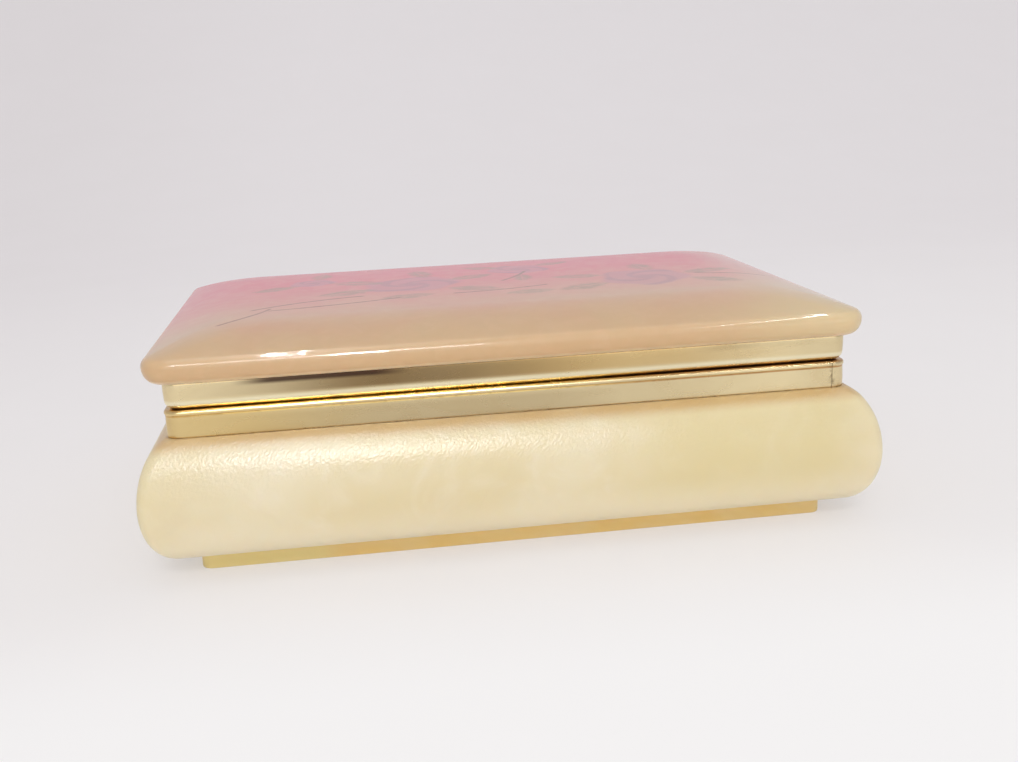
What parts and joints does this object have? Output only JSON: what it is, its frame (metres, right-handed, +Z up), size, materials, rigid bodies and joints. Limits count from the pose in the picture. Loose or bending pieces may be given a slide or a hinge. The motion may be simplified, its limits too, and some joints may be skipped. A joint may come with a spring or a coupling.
{
  "type": "hinged trinket box",
  "caption": "Bulging alabaster jewellery box on a plinth, with folded brass frames, a back hinge and a pillow-shaped lid with a rose spray.",
  "frame": {"origin": "centre of the plinth's underside, on the table", "axes": "+X along the long front towards its right end, +Y from the front to the hinge side, +Z up"},
  "size_m": [0.157, 0.106, 0.0507],
  "materials": {
    "alabaster_bowl": "waxed, translucent cream",
    "alabaster_plinth": "waxed, translucent honey",
    "alabaster_lid": "glossy lacquer over a pink and tan tint",
    "brass_frame": "rolled, softly polished",
    "brass_hinge": "satin"
  },
  "bodies": {
    "body": {"stone_body": "alabaster_bowl", "base_plinth": "alabaster_plinth", "body_frame": "brass_frame", "body_hinge_leaf_left": "brass_hinge", "body_hinge_leaf_right": "brass_hinge", "hinge_pin_left": "brass_hinge", "hinge_pin_right": "brass_hinge"},
    "lid": {"lid_slab": "alabaster_lid", "lid_frame": "brass_frame", "lid_hinge_leaf_left": "brass_hinge", "lid_hinge_leaf_right": "brass_hinge"}
  },
  "joints": [
    {"name": "lid_hinge", "type": "hinge", "parent": "body", "child": "lid", "pos_m": [0, 0.0483, 0.0357], "axis": [-1, 0, 0], "range_deg": [0, 105]}
  ]
}
